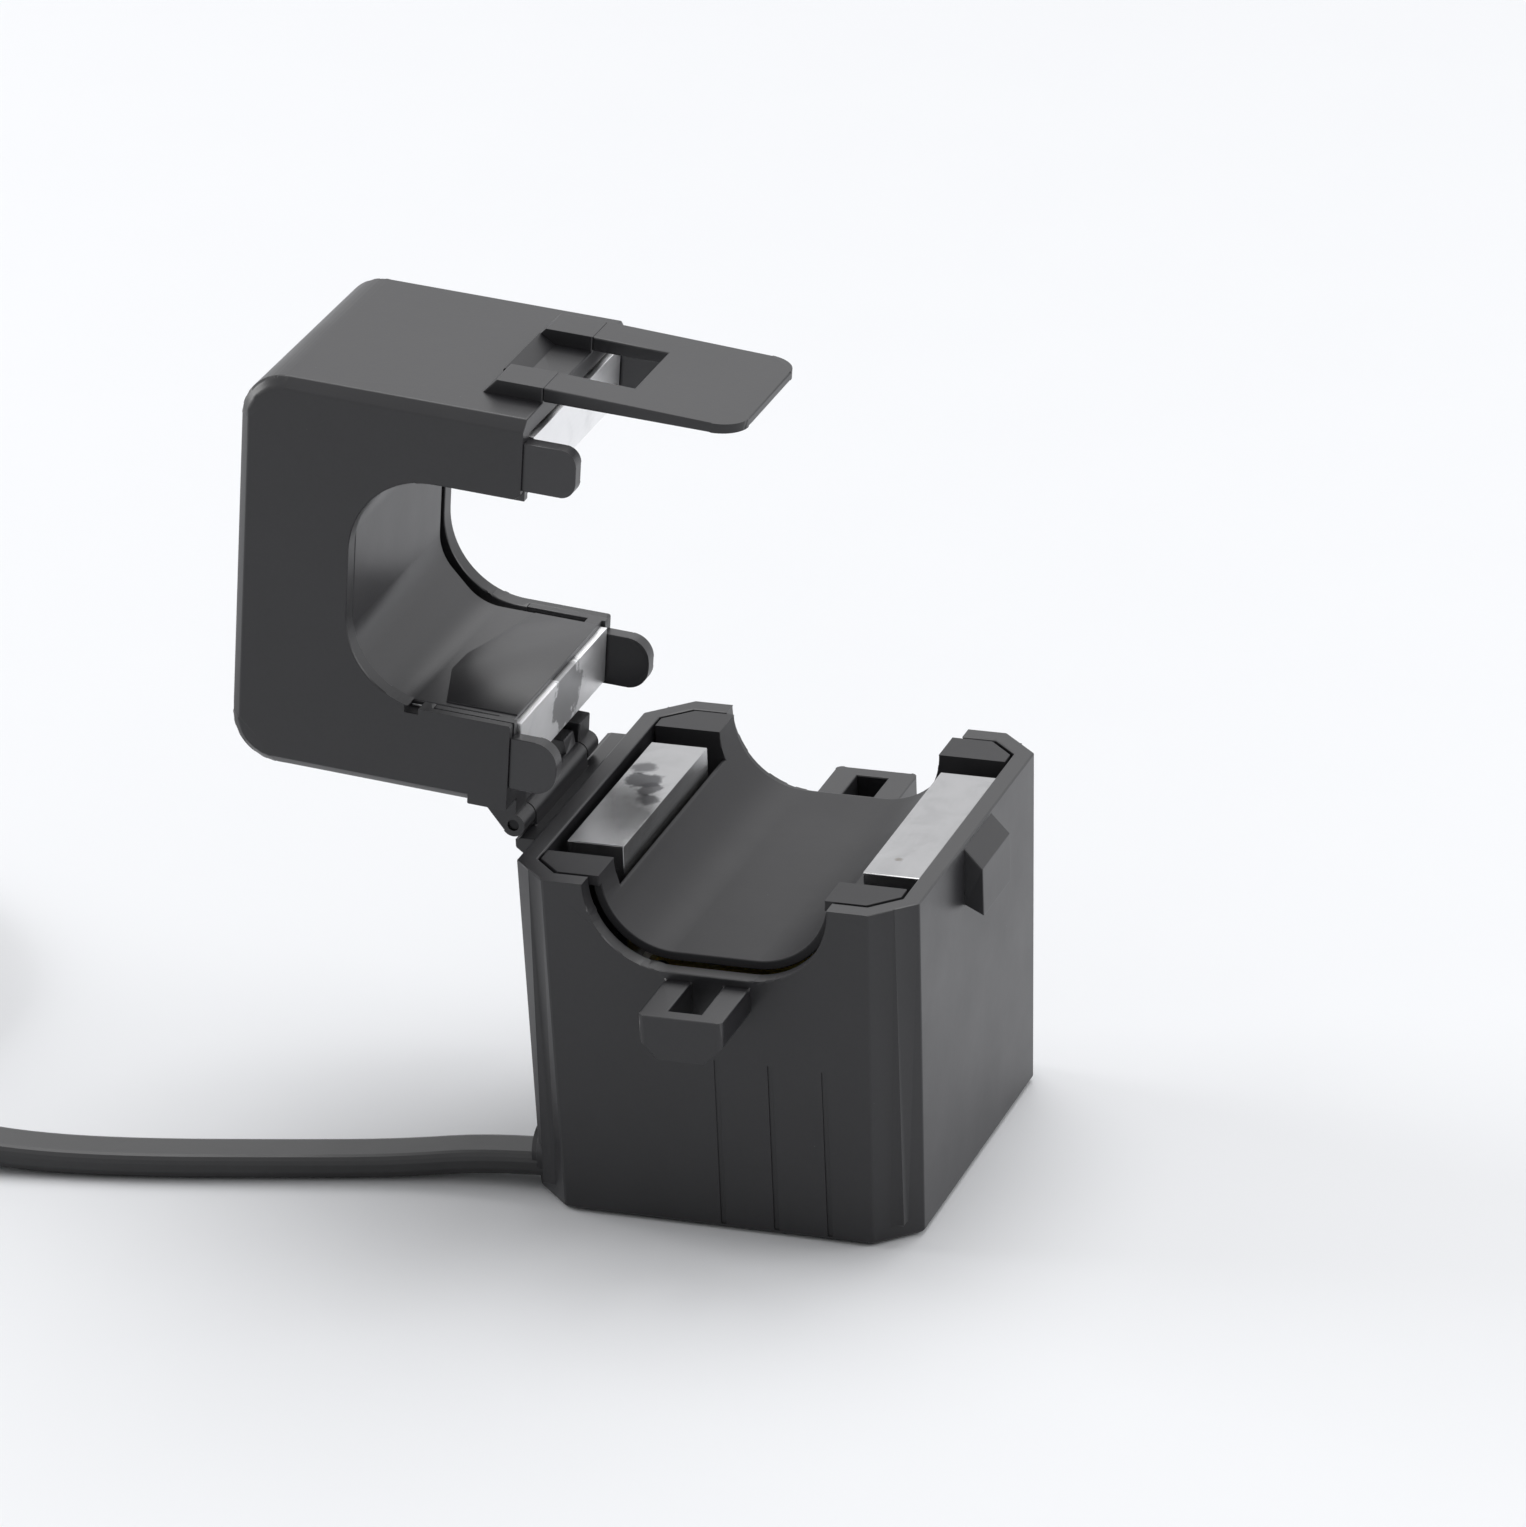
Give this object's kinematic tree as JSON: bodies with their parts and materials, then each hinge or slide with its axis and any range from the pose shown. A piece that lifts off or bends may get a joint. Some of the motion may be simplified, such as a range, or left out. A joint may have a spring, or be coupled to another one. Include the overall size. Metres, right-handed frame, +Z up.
{
  "type": "split-core current transformer",
  "caption": "Hinged split-core current transformer standing open, black moulded case round two polished U cores, with a twin lead.",
  "frame": {"origin": "middle of the base case's underside", "axes": "+Z up, out of the underside towards the cover; +X from the hinge to the latch catch; +Y to the back, along the hinge pin and the conductor"},
  "size_m": [0.2094, 0.0777, 0.0897],
  "materials": {
    "case": "fine satin moulding, charcoal black",
    "core": "ground and polished pole faces",
    "bobbin": "natural nylon",
    "copper": "enamelled copper",
    "tape": "polyester tape",
    "lead": "wire insulation",
    "sleeve": "shrunk sleeving",
    "jacket": "smooth satin jacket",
    "white_core": "wire insulation",
    "black_core": "wire insulation",
    "ferrule": "tinned",
    "pin": "drawn",
    "spring": "rolled spring strip",
    "foam": "closed-cell foam",
    "tie": "nylon"
  },
  "bodies": {
    "base": {"base_case": "case", "base_liner": "case", "lower_core": "core", "core_pad": "foam", "bobbin": "bobbin", "secondary_winding": "copper", "winding_tape": "tape", "winding_lead_a": "lead", "winding_lead_b": "lead", "splice_sleeve_a": "sleeve", "splice_sleeve_b": "sleeve", "inner_wire_a": "white_core", "inner_wire_b": "black_core", "cord_bush": "case", "hinge_pin": "pin", "cord": "jacket", "cord_coil": "jacket", "coil_tie": "tie", "cord_tail": "jacket", "end_wire_a": "white_core", "end_wire_b": "black_core", "ferrule_a": "ferrule", "ferrule_b": "ferrule"},
    "cover": {"cover_case": "case", "cover_liner": "case", "upper_core": "core", "core_spring": "spring"},
    "strap": {"latch_strap": "case"}
  },
  "joints": [
    {"name": "cover_hinge", "type": "hinge", "parent": "base", "child": "cover", "pos_m": [-0.0256, 0, 0.0394], "axis": [0, 1, 0], "range_deg": [0, 84.8]},
    {"name": "strap_bend", "type": "hinge", "parent": "cover", "child": "strap", "pos_m": [-0.02089, 0, 0.08898], "axis": [0, -1, 0], "range_deg": [0, 14], "stiffness_Nm_per_rad": 0.01}
  ]
}
